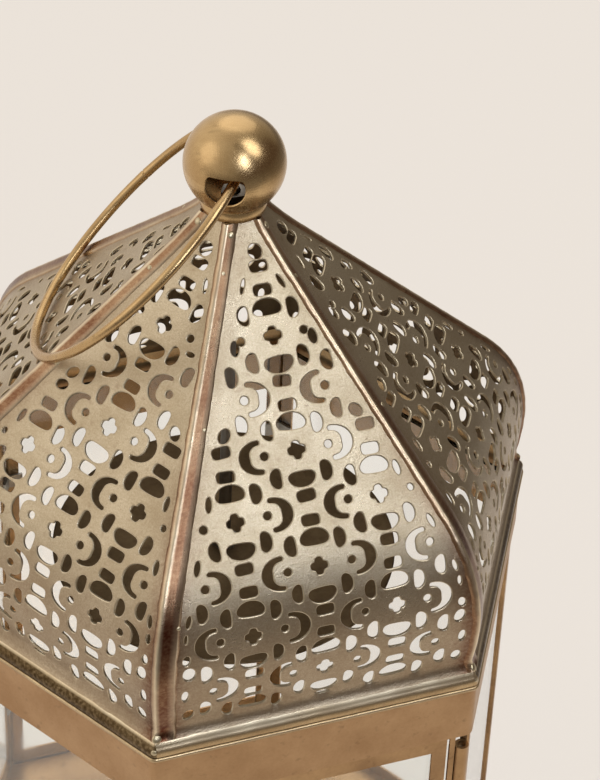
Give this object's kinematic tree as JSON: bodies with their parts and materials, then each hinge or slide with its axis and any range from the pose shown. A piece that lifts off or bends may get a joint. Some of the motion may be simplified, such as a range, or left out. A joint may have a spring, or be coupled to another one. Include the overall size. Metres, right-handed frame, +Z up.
{
  "type": "candle lantern",
  "caption": "Six-sided glazed candle lantern with a hinged door under a pierced sheet dome, crowned by a ball that carries a loose ring handle.",
  "frame": {"origin": "centre of the footprint, on the surface that the felt pads stand on", "axes": "+Z up, the door faces -Y, a corner post of the hexagon lies on +X and on -X"},
  "size_m": [0.204, 0.1802, 0.3491],
  "materials": {
    "brushed_brass": "brushed, lightly tarnished",
    "pierced_brass": "pierced sheet, satin, lightly tarnished",
    "polished_brass": "polished, worn",
    "dull_brass": "dull, darkened by heat and soot",
    "steel": "zinc plated, dull",
    "clear_glass": "clear",
    "felt": "pressed felt"
  },
  "bodies": {
    "root": {"felt_pads": "felt", "foot_rim": "brushed_brass", "base_skirt": "brushed_brass", "floor_plate": "dull_brass", "corner_post_1": "brushed_brass", "corner_post_2": "brushed_brass", "corner_post_3": "brushed_brass", "corner_post_4": "brushed_brass", "corner_post_5": "brushed_brass", "corner_post_6": "brushed_brass", "glass_pane_1": "clear_glass", "glass_pane_2": "clear_glass", "glass_pane_3": "clear_glass", "glass_pane_4": "clear_glass", "glass_pane_5": "clear_glass", "pane_clips": "steel", "top_band": "brushed_brass", "eave_rim": "brushed_brass", "dome_panel_1": "pierced_brass", "dome_panel_2": "pierced_brass", "dome_panel_3": "pierced_brass", "dome_panel_4": "pierced_brass", "dome_panel_5": "pierced_brass", "dome_panel_6": "pierced_brass", "seam_cap_1": "brushed_brass", "seam_cap_2": "brushed_brass", "seam_cap_3": "brushed_brass", "seam_cap_4": "brushed_brass", "seam_cap_5": "brushed_brass", "seam_cap_6": "brushed_brass", "neck_collar": "polished_brass", "finial_ball": "polished_brass", "tie_rod": "steel", "tie_rod_nuts": "steel", "heat_shield": "dull_brass", "door_stops": "brushed_brass", "frame_hinge_barrels": "brushed_brass", "hinge_pin": "steel", "latch_rivet": "steel"},
    "ring": {"carrying_ring": "polished_brass"},
    "door": {"door_frame": "brushed_brass", "door_glass": "clear_glass", "door_glass_clips": "steel", "door_hinge_barrel": "brushed_brass", "door_knob": "polished_brass"},
    "latch": {"latch_button": "polished_brass"}
  },
  "joints": [
    {"name": "ring_swing", "type": "hinge", "parent": "root", "child": "ring", "pos_m": [0, 0, 0.33259], "axis": [0.5, 0.866, 0], "range_deg": [0, 275.8]},
    {"name": "door_swing", "type": "hinge", "parent": "root", "child": "door", "pos_m": [0.04822, -0.08611, 0.096], "axis": [0, 0, 1], "range_deg": [0, 150]},
    {"name": "latch_turn", "type": "hinge", "parent": "root", "child": "latch", "pos_m": [-0.04708, -0.08748, 0.078], "axis": [0, -1, 0], "range_deg": [0, 90]}
  ]
}
